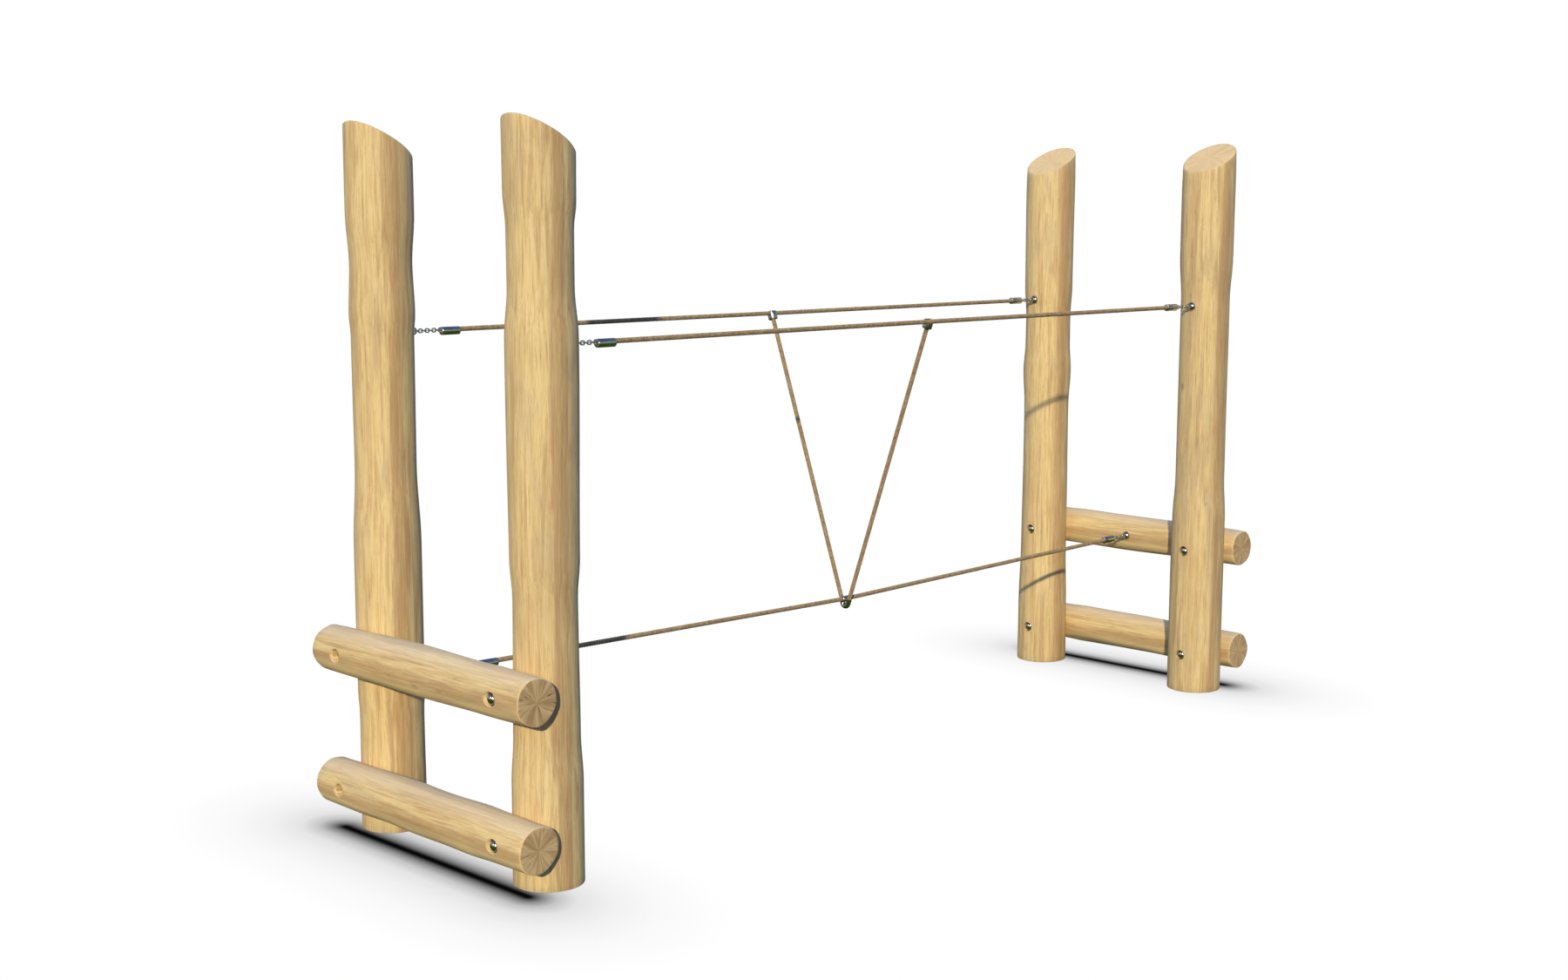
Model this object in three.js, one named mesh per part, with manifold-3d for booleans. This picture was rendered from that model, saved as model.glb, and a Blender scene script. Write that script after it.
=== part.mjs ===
// Rope crossing on four round timber posts: two hand ropes, one foot rope and a V rope at mid-span
// that ties the three together. Millimetres, +Z up, origin on the ground at the middle,
// +X along the ropes, +Y from the front pair of posts to the back pair.
import * as THREE from 'three';
import { mergeVertices } from 'three/addons/utils/BufferGeometryUtils.js';
import Module from 'manifold-3d';

const wasm = await Module();
wasm.setup();

// ---- driving dimensions ----
const SPAN = 3500;
const WIDTH = 806;
const GAP = 0.3;

const POST_TOP = 2225;
const POST_CUT_ANGLE = THREE.MathUtils.degToRad(30);
const POST_SIDES = 20;
const POST_CLEAR = 150;
const CUT_SIZE = 600;
// [height, diameter] of each debarked post, from the ground up
const POST_OUTLINES = {
  left_back: [[0, 212], [385, 208], [450, 215], [945, 215], [1190, 196], [1610, 198],
    [1680, 208], [1840, 197], [1995, 215], [2310, 214]],
  left_front: [[0, 217], [315, 215], [455, 201], [875, 195], [990, 210], [1645, 217],
    [1785, 197], [1960, 198], [2050, 213], [2310, 215]],
  right_back: [[0, 216], [245, 213], [525, 200], [1155, 195], [1310, 209], [1420, 195],
    [1540, 194], [1680, 208], [2100, 212], [2310, 204]],
  right_front: [[0, 220], [525, 219], [735, 216], [900, 200], [1400, 199], [1645, 198],
    [1820, 216], [2100, 216], [2310, 209]],
};

const RUNG_OFFSET = 139;
const RUNG_HALF = 532;
const RUNG_HEIGHTS = { upper: 600, lower: 157 };
const RUNG_SIDES = 20;
const RUNG_CLEAR = 100;
const RUNG_RADIUS_AT_POST = 76.2;
// [distance along the rung, radius], from one end to the other
const RUNG_OUTLINE = [[-532, 73], [-527, 75.5], [-250, 77], [0, 77.5], [250, 77], [527, 75.5], [532, 73]];

const HOLE_SIDES = 12;
const BOLT_RADIUS = 6;
const HOLE_RADIUS = 6.4;
const COUNTERBORE_RADIUS = 20.5;
const RUNG_BORE_DEPTH = 15;
const RUNG_BORE_DEEP = 32;
const RUNG_BORE_MOUTH = 28;
const RUNG_BORE_CHAMFER = 7.5;
const POST_BORE_DEPTH = 15;
// [radius, height] of the round cap that both the bolt head and the nut have
const CAP_OUTLINE = [[16, 0], [16.8, 1], [16.8, 3], [15.2, 7.6], [11.6, 11.2], [6, 13.6]];
const CAP_HEIGHT = 14.5;
const CAP_SIDES = 16;
const NUT_BORE_DEPTH = 10;

const HAND_HEIGHT = 1620;
const HAND_HALF_WIDTH_MIDDLE = 390;
const FOOT_HEIGHT_END = 600;
const FOOT_HEIGHT_MIDDLE = 570;
const ROPE_RADIUS = 8;
const ROPE_SIDES = 10;
const ROPE_STEPS = 10;
const ROPE_END_GAP = 0.4;

const SCREW_RADIUS = 6;
const SCREW_DEPTH = 80;
const SCREW_SEAT_RADIUS = 19;
const SCREW_SEAT_REACH = 10;
const DOME_OUTLINE = [[18, 0], [18, 5], [14.5, 11], [8, 15]];
const DOME_HEIGHT = 15;
const EYE_RADIUS = 9;
const EYE_WIRE = 3.2;

const LOOP_SEGMENTS = 8;
const WIRE_SIDES = 6;
const LINK_PITCH = 12.9;
const LINK_INNER = 3.6;
const LINK_WIRE = 2.1;
const LINK_WELD = 0.3;
const LINK_GAP = 0.4;
const LUG_INNER = 4.2;
const LUG_WIRE = 2.2;

const FERRULE_LENGTH = 70;
const FERRULE_RADIUS = 13.5;
const FERRULE_FLOOR = 27;
// the left ferrules hang low on their ropes
const FERRULE_DROP = 4;
const SOCKET_RADIUS = 8.4;
const SOCKET_SIDES = 16;

const CLAMP_RADIUS = 17.5;
const CLAMP_ABOVE = 18;
const CLAMP_BELOW = 24;
const CLAMP_BORE = 9.5;
const CLAMP_SEAT = 11.2;
// the clamp hooks over its rope from the inner side: a low hood on top, a lip under the open side
const CLAMP_HOOD = 10.9;
const CLAMP_LIP = 7;
const CLAMP_CUT = 60;

const SADDLE_BEND = 13.5;
const SADDLE_DROP = 14.5;
const SADDLE_TUBE = 9.8;
const SADDLE_RISE = 1;
const SADDLE_SEAT = 13;
const SADDLE_SLEEVE_RADIUS = 11;
const SADDLE_SLEEVE_HALF = 20;
const SADDLE_BORE = 9.35;
const SADDLE_SOCKET = 8.3;
const SADDLE_STEPS = 12;

// the six rope ends: which side it is on, its place, and how many chain links take up the slack
const ROPE_ENDS = [
  { name: 'hand_rope_back_left', side: -1, row: 1, post: 'left_back', links: 7 },
  { name: 'hand_rope_front_left', side: -1, row: -1, post: 'left_front', links: 5 },
  { name: 'hand_rope_back_right', side: 1, row: 1, post: 'right_back', links: 5 },
  { name: 'hand_rope_front_right', side: 1, row: -1, post: 'right_front', links: 6 },
  { name: 'foot_rope_left', side: -1, row: 0, links: 6 },
  { name: 'foot_rope_right', side: 1, row: 0, links: 5 },
];

// ---- materials ----
const wood = new THREE.MeshStandardMaterial({ color: 0xcfae74, roughness: 0.75, metalness: 0 });
const steel = new THREE.MeshStandardMaterial({ color: 0xc9ccd0, roughness: 0.18, metalness: 1 });
const rope = new THREE.MeshStandardMaterial({ color: 0xa98f6c, roughness: 0.9, metalness: 0 });

// ---- solids ----
function solidOf(geometry) {
  const plain = geometry.clone();
  plain.deleteAttribute('normal');
  plain.deleteAttribute('uv');
  const merged = mergeVertices(plain, 1e-4);
  const vertProperties = new Float32Array(merged.attributes.position.array);
  const triVerts = new Uint32Array(merged.index.array);
  return new wasm.Manifold(new wasm.Mesh({ numProp: 3, vertProperties, triVerts }));
}

function geometryOf(solid) {
  const mesh = solid.getMesh();
  const geometry = new THREE.BufferGeometry();
  geometry.setAttribute('position', new THREE.BufferAttribute(mesh.vertProperties, mesh.numProp));
  geometry.setIndex(new THREE.BufferAttribute(mesh.triVerts, 1));
  geometry.computeVertexNormals();
  return geometry;
}

function meshOf(name, solid, material) {
  const mesh = new THREE.Mesh(geometryOf(solid), material);
  mesh.name = name;
  return mesh;
}

// turned solid about +Z from [radius, height] points
function turned(points, sides) {
  const profile = points.map(([radius, height]) => new THREE.Vector2(radius, height));
  const geometry = new THREE.LatheGeometry(profile, sides);
  return geometry.rotateX(Math.PI / 2);
}

// round bar between two points
function bar(from, to, radius, sides) {
  const axis = new THREE.Vector3().subVectors(to, from);
  const geometry = new THREE.CylinderGeometry(radius, radius, axis.length(), sides);
  const turn = new THREE.Quaternion().setFromUnitVectors(new THREE.Vector3(0, 1, 0), axis.normalize());
  const middle = new THREE.Vector3().addVectors(from, to).multiplyScalar(0.5);
  return solidOf(geometry.applyQuaternion(turn).translate(middle.x, middle.y, middle.z));
}

function barAlongX(fromX, toX, y, z, radius, sides) {
  return bar(new THREE.Vector3(fromX, y, z), new THREE.Vector3(toX, y, z), radius, sides);
}

// closed wire loop in the XZ plane, or in XY when flat, with its two halves pulled apart by stretch;
// inner is the clear distance from its centre to the wire at the crown
function wireLoop(inner, wire, stretch, flat) {
  const corner = inner / Math.cos(Math.PI / LOOP_SEGMENTS) + wire;
  const geometry = new THREE.TorusGeometry(corner, wire, WIRE_SIDES, LOOP_SEGMENTS);
  geometry.rotateZ(Math.PI / LOOP_SEGMENTS);
  const position = geometry.attributes.position;
  for (let i = 0; i < position.count; i += 1) {
    position.setX(i, position.getX(i) + Math.sign(position.getX(i)) * stretch / 2);
  }
  if (!flat) geometry.rotateX(Math.PI / 2);
  return geometry;
}

function radiusAt(outline, height) {
  let i = 1;
  while (outline[i][0] < height) i += 1;
  const [z0, d0] = outline[i - 1];
  const [z1, d1] = outline[i];
  return (d0 + (d1 - d0) * (height - z0) / (z1 - z0)) / 2;
}

// ---- timber ----
function rungGeometry(extra) {
  const points = RUNG_OUTLINE.map(([along, radius]) => [radius + extra, along]);
  const profile = [[0, -RUNG_HALF - extra], ...points, [0, RUNG_HALF + extra]];
  profile[1][1] -= extra;
  profile[profile.length - 2][1] += extra;
  return turned(profile, RUNG_SIDES).rotateX(-Math.PI / 2);
}

function rungAt(side, level, extra) {
  const x = side * (SPAN / 2 + RUNG_OFFSET);
  return solidOf(rungGeometry(extra).translate(x, 0, RUNG_HEIGHTS[level]));
}

const rungFace = SPAN / 2 + RUNG_OFFSET + RUNG_RADIUS_AT_POST;

// the two bolts of the left back post are sunk deeper than the rest
function headFloor(side, row) {
  return rungFace - (side < 0 && row > 0 ? RUNG_BORE_DEEP : RUNG_BORE_DEPTH);
}

function nutFloor(outline, level) {
  return SPAN / 2 - radiusAt(outline, RUNG_HEIGHTS[level]) + POST_BORE_DEPTH;
}

function makePost(name, side, row) {
  const outline = POST_OUTLINES[name];
  const x = side * SPAN / 2;
  const y = row * WIDTH / 2;
  const top = outline[outline.length - 1][0];
  const profile = [[0, 0], ...outline.map(([z, diameter]) => [diameter / 2, z]), [0, top]];
  let solid = solidOf(turned(profile, POST_SIDES).translate(x, y, 0));
  const cutter = new THREE.BoxGeometry(CUT_SIZE, CUT_SIZE, CUT_SIZE).translate(0, 0, CUT_SIZE / 2);
  cutter.rotateY(side * -POST_CUT_ANGLE).translate(x, y, POST_TOP);
  solid = solid.subtract(solidOf(cutter));
  for (const level of Object.keys(RUNG_HEIGHTS)) {
    const z = RUNG_HEIGHTS[level];
    const floor = side * nutFloor(outline, level);
    const mouth = side * (SPAN / 2 - POST_CLEAR);
    const back = side * (SPAN / 2 + RUNG_OFFSET);
    solid = solid.subtract(rungAt(side, level, GAP));
    solid = solid.subtract(barAlongX(floor, back, y, z, HOLE_RADIUS, HOLE_SIDES));
    solid = solid.subtract(barAlongX(floor, mouth, y, z, COUNTERBORE_RADIUS, SOCKET_SIDES));
  }
  const face = side * (SPAN / 2 - radiusAt(outline, HAND_HEIGHT));
  const hole = face + side * (SCREW_DEPTH + 1);
  const clear = face - side * SCREW_SEAT_REACH;
  solid = solid.subtract(barAlongX(clear, hole, y, HAND_HEIGHT, HOLE_RADIUS, HOLE_SIDES));
  solid = solid.subtract(barAlongX(clear, face, y, HAND_HEIGHT, SCREW_SEAT_RADIUS, SOCKET_SIDES));
  return meshOf(`post_${name}`, solid, wood);
}

// the chamfered mouth of a rung's counterbore, measured outward from the rung's face
const mouthOutline = [
  [0, -RUNG_BORE_CHAMFER],
  [COUNTERBORE_RADIUS, -RUNG_BORE_CHAMFER],
  [RUNG_BORE_MOUTH, 0],
  [RUNG_BORE_MOUTH, 1],
  [0, 1],
];

function makeRung(name, side, level) {
  const z = RUNG_HEIGHTS[level];
  const x = side * (SPAN / 2 + RUNG_OFFSET);
  const inside = x - side * RUNG_CLEAR;
  const outside = x + side * RUNG_CLEAR;
  let solid = rungAt(side, level, 0);
  for (const row of [-1, 1]) {
    const y = row * WIDTH / 2;
    const floor = side * headFloor(side, row);
    solid = solid.subtract(barAlongX(inside, outside, y, z, HOLE_RADIUS, HOLE_SIDES));
    solid = solid.subtract(barAlongX(floor, outside, y, z, COUNTERBORE_RADIUS, SOCKET_SIDES));
    const mouth = turned(mouthOutline, SOCKET_SIDES).rotateY(side * Math.PI / 2);
    solid = solid.subtract(solidOf(mouth.translate(side * rungFace, y, z)));
  }
  if (level === 'upper') {
    const end = x + side * (SCREW_DEPTH + 1 - RUNG_OUTLINE[3][1]);
    solid = solid.subtract(barAlongX(inside, end, 0, z, HOLE_RADIUS, HOLE_SIDES));
  }
  return meshOf(name, solid, wood);
}

// ---- bolts and nuts of one rung-to-post joint ----
const capOutline = [[0, 0], ...CAP_OUTLINE, [0, CAP_HEIGHT]];

function makeBolt(name, side, row, level, outline) {
  const y = row * WIDTH / 2;
  const z = RUNG_HEIGHTS[level];
  const floor = side * (headFloor(side, row) + GAP);
  const tip = side * (nutFloor(outline, level) - NUT_BORE_DEPTH);
  const shank = barAlongX(tip, floor + side, y, z, BOLT_RADIUS, HOLE_SIDES);
  const cap = turned(capOutline, CAP_SIDES).rotateY(side * Math.PI / 2).translate(floor, y, z);
  return meshOf(name, solidOf(cap).add(shank), steel);
}

function makeNut(name, side, row, level, outline) {
  const bore = new THREE.CylinderGeometry(HOLE_RADIUS, HOLE_RADIUS, 2 * (NUT_BORE_DEPTH + 1), HOLE_SIDES);
  const cap = solidOf(turned(capOutline, CAP_SIDES));
  const mesh = meshOf(name, cap.subtract(solidOf(bore.rotateX(Math.PI / 2))), steel);
  mesh.rotation.y = side * -Math.PI / 2;
  mesh.position.set(side * (nutFloor(outline, level) - GAP), row * WIDTH / 2, RUNG_HEIGHTS[level]);
  return mesh;
}

// ---- one rope end: eye screw, chain, ferrule and half rope ----
// local frame: origin on the eye wire where the first link turns, +X towards mid-span
function makeEyeScrew(name) {
  const seat = -(DOME_HEIGHT - 3 + 2 * EYE_RADIUS);
  const dome = [[0, 0], ...DOME_OUTLINE, [0, DOME_HEIGHT]];
  const cap = turned(dome, HOLE_SIDES).rotateY(Math.PI / 2).translate(seat, 0, 0);
  const eye = wireLoop(EYE_RADIUS - EYE_WIRE, EYE_WIRE, 0, false).translate(-EYE_RADIUS, 0, 0);
  let solid = solidOf(cap).add(solidOf(eye));
  solid = solid.add(barAlongX(seat - SCREW_DEPTH, seat + 5, 0, 0, SCREW_RADIUS, HOLE_SIDES));
  return meshOf(name, solid, steel);
}

const screwSeat = DOME_HEIGHT - 3 + 2 * EYE_RADIUS + GAP;

function chainEnd(links) {
  return -EYE_WIRE - LINK_GAP + links * LINK_PITCH + (links - 1) * LINK_WELD;
}

function makeChain(name, links) {
  let solid = null;
  for (let i = 0; i < links; i += 1) {
    const start = -EYE_WIRE - LINK_GAP + i * (LINK_PITCH + LINK_WELD);
    const stretch = LINK_PITCH - 2 * LINK_INNER;
    const loop = wireLoop(LINK_INNER, LINK_WIRE, stretch, i % 2 === 0);
    const link = solidOf(loop.translate(start + LINK_PITCH / 2, 0, 0));
    solid = solid ? solid.add(link) : link;
  }
  return meshOf(name, solid, steel);
}

function ferruleStart(links) {
  return chainEnd(links) - LINK_GAP + 2 * LUG_INNER;
}

const ferruleOutline = [[0, 0], [9.5, 0], [12.3, 1.2], [FERRULE_RADIUS, 4],
  [FERRULE_RADIUS, FERRULE_LENGTH - 0.8], [FERRULE_RADIUS - 0.8, FERRULE_LENGTH], [0, FERRULE_LENGTH]];

function makeFerrule(name, links, drop) {
  const start = ferruleStart(links);
  const body = turned(ferruleOutline, SOCKET_SIDES).rotateY(Math.PI / 2).translate(start, 0, -drop);
  const lug = wireLoop(LUG_INNER, LUG_WIRE, 0, links % 2 === 0).translate(start - LUG_INNER, 0, 0);
  const floor = start + FERRULE_FLOOR;
  const socket = barAlongX(floor, floor + FERRULE_LENGTH, 0, 0, SOCKET_RADIUS, SOCKET_SIDES);
  return meshOf(name, solidOf(body).add(solidOf(lug)).subtract(socket), steel);
}

function ropeMesh(name, from, to) {
  const section = new THREE.Shape();
  section.absarc(0, 0, ROPE_RADIUS, 0, 2 * Math.PI);
  const extrudePath = new THREE.LineCurve3(from, to);
  const settings = { steps: ROPE_STEPS, curveSegments: ROPE_SIDES / 2, extrudePath };
  return meshOf(name, solidOf(new THREE.ExtrudeGeometry(section, settings)), rope);
}

function makeRopeEnd(end) {
  const isFoot = end.row === 0;
  const height = isFoot ? FOOT_HEIGHT_END : HAND_HEIGHT;
  const faceX = isFoot ? SPAN / 2 + RUNG_OFFSET - RUNG_OUTLINE[3][1]
    : SPAN / 2 - radiusAt(POST_OUTLINES[end.post], HAND_HEIGHT);
  const pivot = new THREE.Vector3(end.side * (faceX - screwSeat), end.row * WIDTH / 2, height);
  const middleHeight = isFoot ? FOOT_HEIGHT_MIDDLE : HAND_HEIGHT;
  const middle = new THREE.Vector3(0, end.row * HAND_HALF_WIDTH_MIDDLE, middleHeight);
  const reach = new THREE.Vector3().subVectors(middle, pivot);
  const turnedAbout = end.side > 0 ? Math.PI : 0;
  const length = reach.length();
  const anchor = new THREE.Group();
  anchor.position.copy(pivot);
  anchor.rotation.z = turnedAbout;
  anchor.add(makeEyeScrew(`eye_screw_${end.name}`));
  const line = new THREE.Group();
  line.position.copy(pivot);
  line.quaternion.setFromUnitVectors(new THREE.Vector3(-end.side, 0, 0), reach.clone().normalize());
  line.quaternion.multiply(anchor.quaternion);
  line.add(makeChain(`chain_${end.name}`, end.links));
  line.add(makeFerrule(`ferrule_${end.name}`, end.links, end.side < 0 ? FERRULE_DROP : 0));
  const ropeStart = new THREE.Vector3(ferruleStart(end.links) + FERRULE_FLOOR + GAP, 0, 0);
  line.add(ropeMesh(end.name, ropeStart, new THREE.Vector3(length - ROPE_END_GAP, 0, 0)));
  return [anchor, line];
}

// ---- V rope: two legs from the hand ropes to a saddle round the foot rope ----
const bendCentre = new THREE.Vector2(0, FOOT_HEIGHT_MIDDLE - SADDLE_DROP);
const legTop = new THREE.Vector2(HAND_HALF_WIDTH_MIDDLE, HAND_HEIGHT);
const toTop = legTop.clone().sub(bendCentre);
const tangentAngle = toTop.angle() - Math.acos(SADDLE_BEND / toTop.length());
const tangent = new THREE.Vector2(Math.cos(tangentAngle), Math.sin(tangentAngle))
  .multiplyScalar(SADDLE_BEND).add(bendCentre);
const legUp = legTop.clone().sub(tangent).normalize();

function legPoint(row, origin, along) {
  const point = origin.clone().addScaledVector(legUp, along);
  return new THREE.Vector3(0, row * point.x, point.y);
}

const armLength = (FOOT_HEIGHT_MIDDLE + SADDLE_RISE - tangent.y) / legUp.y;

function makeLeg(name, row) {
  const from = legPoint(row, tangent, armLength - SADDLE_SEAT + GAP);
  return ropeMesh(name, from, legPoint(row, legTop, -CLAMP_SEAT - GAP));
}

function cutBlock(y, bottomZ) {
  const block = new THREE.BoxGeometry(CLAMP_CUT, CLAMP_CUT, CLAMP_CUT);
  return solidOf(block.translate(0, y, bottomZ + CLAMP_CUT / 2));
}

function makeClamp(name, row) {
  const bottom = legPoint(row, legTop, -CLAMP_BELOW);
  const beyond = legPoint(row, legTop, -2 * CLAMP_BELOW);
  const seat = legPoint(row, legTop, -CLAMP_SEAT);
  const bore = 2 * CLAMP_RADIUS;
  let solid = bar(bottom, legPoint(row, legTop, CLAMP_ABOVE), CLAMP_RADIUS, SOCKET_SIDES);
  solid = solid.subtract(bar(beyond, seat, SOCKET_RADIUS, SOCKET_SIDES));
  solid = solid.subtract(barAlongX(-bore, bore, row * legTop.x, legTop.y, CLAMP_BORE, SOCKET_SIDES));
  solid = solid.subtract(cutBlock(row * (legTop.x + CLAMP_CUT / 2), legTop.y - CLAMP_LIP));
  solid = solid.subtract(cutBlock(row * legTop.x, legTop.y + CLAMP_HOOD));
  return meshOf(name, solid, steel);
}

function makeSaddle(name) {
  const points = [legPoint(-1, tangent, armLength), legPoint(-1, tangent, armLength / 2)];
  const bendSteps = 6;
  for (let i = 0; i <= bendSteps; i += 1) {
    const angle = THREE.MathUtils.lerp(-Math.PI - tangentAngle, tangentAngle, i / bendSteps);
    const z = bendCentre.y + SADDLE_BEND * Math.sin(angle);
    points.push(new THREE.Vector3(0, SADDLE_BEND * Math.cos(angle), z));
  }
  points.push(legPoint(1, tangent, armLength / 2), legPoint(1, tangent, armLength));
  const section = new THREE.Shape();
  section.absarc(0, 0, SADDLE_TUBE, 0, 2 * Math.PI);
  const extrudePath = new THREE.CatmullRomCurve3(points);
  const settings = { steps: SADDLE_STEPS, curveSegments: SOCKET_SIDES / 2, extrudePath };
  let solid = solidOf(new THREE.ExtrudeGeometry(section, settings));
  solid = solid.add(barAlongX(-SADDLE_SLEEVE_HALF, SADDLE_SLEEVE_HALF, 0, FOOT_HEIGHT_MIDDLE,
    SADDLE_SLEEVE_RADIUS, SOCKET_SIDES));
  for (const row of [-1, 1]) {
    const seat = legPoint(row, tangent, armLength - SADDLE_SEAT);
    const beyond = legPoint(row, tangent, armLength + SADDLE_SEAT);
    solid = solid.subtract(bar(seat, beyond, SADDLE_SOCKET, SOCKET_SIDES));
  }
  const bore = 2 * SADDLE_SLEEVE_HALF;
  solid = solid.subtract(barAlongX(-bore, bore, 0, FOOT_HEIGHT_MIDDLE, SADDLE_BORE, SOCKET_SIDES));
  return meshOf(name, solid, steel);
}

// ---- assembly ----
const crossing = new THREE.Group();
for (const [sideName, side] of [['left', -1], ['right', 1]]) {
  for (const [rowName, row] of [['back', 1], ['front', -1]]) {
    const post = `${sideName}_${rowName}`;
    crossing.add(makePost(post, side, row));
    for (const level of Object.keys(RUNG_HEIGHTS)) {
      crossing.add(makeBolt(`rung_bolt_${post}_${level}`, side, row, level, POST_OUTLINES[post]));
      crossing.add(makeNut(`dome_nut_${post}_${level}`, side, row, level, POST_OUTLINES[post]));
    }
  }
  for (const level of Object.keys(RUNG_HEIGHTS)) {
    crossing.add(makeRung(`rung_${sideName}_${level}`, side, level));
  }
}
for (const end of ROPE_ENDS) crossing.add(...makeRopeEnd(end));
for (const [rowName, row] of [['back', 1], ['front', -1]]) {
  crossing.add(makeLeg(`v_rope_leg_${rowName}`, row));
  crossing.add(makeClamp(`t_clamp_${rowName}`, row));
}
crossing.add(makeSaddle('v_saddle'));

export default crossing;
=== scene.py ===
# Looks for the rope crossing: round timber posts and rungs, laid rope, polished steel fittings.
import math

import bmesh
import bpy
from mathutils import Matrix, Quaternion, Vector, noise


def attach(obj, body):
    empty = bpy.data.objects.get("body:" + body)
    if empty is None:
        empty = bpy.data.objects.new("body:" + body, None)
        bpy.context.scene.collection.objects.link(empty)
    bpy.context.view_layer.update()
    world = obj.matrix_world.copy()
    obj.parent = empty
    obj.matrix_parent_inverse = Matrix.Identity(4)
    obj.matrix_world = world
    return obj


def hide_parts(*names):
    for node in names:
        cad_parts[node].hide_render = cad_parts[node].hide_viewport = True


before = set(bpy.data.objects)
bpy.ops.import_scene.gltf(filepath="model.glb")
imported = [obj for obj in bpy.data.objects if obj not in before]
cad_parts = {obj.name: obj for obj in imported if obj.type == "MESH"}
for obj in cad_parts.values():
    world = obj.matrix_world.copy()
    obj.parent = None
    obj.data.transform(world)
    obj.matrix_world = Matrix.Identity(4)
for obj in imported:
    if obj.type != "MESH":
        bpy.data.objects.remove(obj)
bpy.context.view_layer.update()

# ---- sizes, in metres, the same as the CAD model's ----
SPAN = 3.5
WIDTH = 0.806
POST_TOP = 2.225
CUT_SLOPE = math.tan(math.radians(30))
RUNG_OFFSET = 0.139
RUNG_HALF = 0.532
RUNG_HEIGHTS = {"upper": 0.600, "lower": 0.157}
RUNG_RADIUS_AT_MIDDLE, RUNG_RADIUS_AT_POST, RUNG_RADIUS_AT_END = 0.0775, 0.0762, 0.073
COUNTERBORE_RADIUS = 0.0205
RUNG_BORE_DEPTH, RUNG_BORE_DEEP = 0.015, 0.032
RUNG_BORE_MOUTH, RUNG_BORE_CHAMFER = 0.028, 0.0075
POST_BORE_DEPTH = 0.015
CAP_RADIUS, CAP_HEIGHT = 0.0168, 0.0145
HAND_HEIGHT = 1.620
HAND_HALF_WIDTH_MIDDLE = 0.390
FOOT_HEIGHT_END = 0.600
FOOT_HEIGHT_MIDDLE = 0.570
ROPE_RADIUS = 0.008
ROPE_END_GAP = 0.0004
GAP = 0.0003
# (height, diameter) of each post in millimetres, from the ground up
POST_OUTLINES = {
    "left_back": [(0, 212), (385, 208), (450, 215), (945, 215), (1190, 196), (1610, 198),
                  (1680, 208), (1840, 197), (1995, 215), (2310, 214)],
    "left_front": [(0, 217), (315, 215), (455, 201), (875, 195), (990, 210), (1645, 217),
                   (1785, 197), (1960, 198), (2050, 213), (2310, 215)],
    "right_back": [(0, 216), (245, 213), (525, 200), (1155, 195), (1310, 209), (1420, 195),
                   (1540, 194), (1680, 208), (2100, 212), (2310, 204)],
    "right_front": [(0, 220), (525, 219), (735, 216), (900, 200), (1400, 199), (1645, 198),
                    (1820, 216), (2100, 216), (2310, 209)],
}
SHANK_RADIUS = 0.006
SOCKET_RADIUS = 0.0083
EYE_RADIUS, EYE_WIRE = 0.009, 0.0032
DOME_RADIUS, DOME_HEIGHT, DOME_OVERLAP = 0.018, 0.015, 0.003
SCREW_SEAT_RADIUS = 0.019
DOME_TO_PIVOT = DOME_HEIGHT - DOME_OVERLAP + 2 * EYE_RADIUS
SCREW_SEAT = DOME_TO_PIVOT + GAP
LINK_PITCH, LINK_INNER, LINK_WIRE = 0.0129, 0.0036, 0.0021
LINK_WELD, LINK_GAP = 0.0003, 0.0004
LUG_INNER, LUG_WIRE = 0.0042, 0.0022
FERRULE_LENGTH, FERRULE_RADIUS, FERRULE_FLOOR, FERRULE_DROP = 0.070, 0.0135, 0.027, 0.004
CLAMP_RADIUS, CLAMP_ABOVE, CLAMP_BELOW, CLAMP_BORE, CLAMP_SEAT = 0.0175, 0.018, 0.024, 0.0095, 0.0112
CLAMP_HOOD, CLAMP_LIP, CLAMP_CUT = 0.0109, 0.007, 0.060
SADDLE_BEND, SADDLE_DROP, SADDLE_TUBE, SADDLE_RISE, SADDLE_SEAT = 0.0135, 0.0145, 0.0098, 0.001, 0.013
SADDLE_SLEEVE_RADIUS, SADDLE_SLEEVE_HALF, SADDLE_BORE = 0.011, 0.020, 0.00935
SADDLE_SIDES = 40
SIDES = (("left", -1), ("right", 1))
ROWS = (("back", 1), ("front", -1))
# (name, side, row, post, number of chain links) of the six rope ends
ROPE_ENDS = [
    ("hand_rope_back_left", -1, 1, "left_back", 7),
    ("hand_rope_front_left", -1, -1, "left_front", 5),
    ("hand_rope_back_right", 1, 1, "right_back", 5),
    ("hand_rope_front_right", 1, -1, "right_front", 6),
    ("foot_rope_left", -1, 0, None, 6),
    ("foot_rope_right", 1, 0, None, 5),
]

# ---- camera ----
CAMERA_PLACE = Vector((-5.419, -4.992, 2.021))
CAMERA_YAW = math.radians(44.447)
CAMERA_PITCH = math.radians(-8.047)
CAMERA_ROLL = math.radians(0.14)
camera_data = bpy.data.cameras.new("camera")
camera = bpy.data.objects.new("camera", camera_data)
bpy.context.scene.collection.objects.link(camera)
camera_data.lens = 45.99
camera_data.sensor_width = 36
camera_data.clip_end = 100
look = Vector((math.cos(CAMERA_YAW) * math.cos(CAMERA_PITCH),
               math.sin(CAMERA_YAW) * math.cos(CAMERA_PITCH), math.sin(CAMERA_PITCH)))
camera.location = CAMERA_PLACE
camera.rotation_mode = "QUATERNION"
camera.rotation_quaternion = look.to_track_quat("-Z", "Y") @ Quaternion((0, 0, 1), CAMERA_ROLL)
bpy.context.scene.camera = camera


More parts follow.
